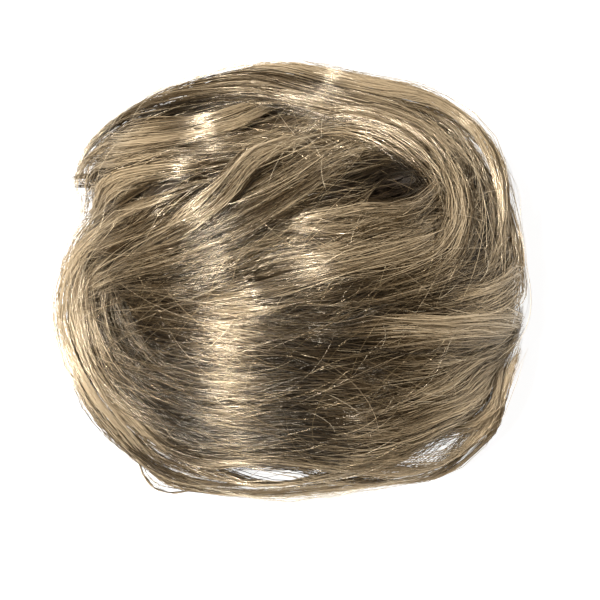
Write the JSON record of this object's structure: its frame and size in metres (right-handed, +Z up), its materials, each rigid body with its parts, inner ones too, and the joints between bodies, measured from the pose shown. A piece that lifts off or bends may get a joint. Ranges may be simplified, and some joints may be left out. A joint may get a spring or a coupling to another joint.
{
  "type": "top knot hairpiece",
  "caption": "Dome-shaped top knot hairpiece: swept, crossed and looped locks over a hollow hair mass on a net cap with a comb, open underneath.",
  "frame": {"origin": "under the middle of the whole hairpiece, on the plane that its rim rests on", "axes": "+Z up through the crown, +X to the side where the loops end, -Y towards the comb and the forehead"},
  "size_m": [0.1296, 0.1178, 0.059],
  "materials": {
    "hair": "glossy light brown hair",
    "hair_under": "shaded light brown hair",
    "net": "matt brown net",
    "comb": "satin brown plastic"
  },
  "bodies": {
    "root": {"net_cap": "net", "comb": "comb", "hair_mass": "hair_under", "crossing_lock": "hair", "eye_ring_lock": "hair", "curl_lock": "hair", "long_left_lock": "hair", "under_eye_lock": "hair", "middle_lock": "hair", "right_loop_lock": "hair", "fan_lock_1": "hair", "fan_lock_2": "hair", "fan_lock_3": "hair", "upper_light_lock": "hair", "upper_second_lock": "hair", "left_tip_lock": "hair", "top_inner_lock": "hair", "shine_lock": "hair", "right_swirl_lock": "hair", "top_rim_lock": "hair", "right_edge_lock": "hair", "right_dark_lock": "hair", "right_band_lock": "hair", "right_return_lock": "hair", "lower_right_lock": "hair", "lower_band_lock": "hair", "left_edge_lock": "hair", "left_inner_lock": "hair", "centre_band_1": "hair", "centre_band_2": "hair", "centre_band_3": "hair", "centre_band_4": "hair", "lower_edge_lock": "hair", "bottom_wrap_lock": "hair", "side_wrap_back": "hair", "side_wrap_left": "hair", "side_wrap_front": "hair", "side_wrap_right": "hair"}
  },
  "joints": []
}
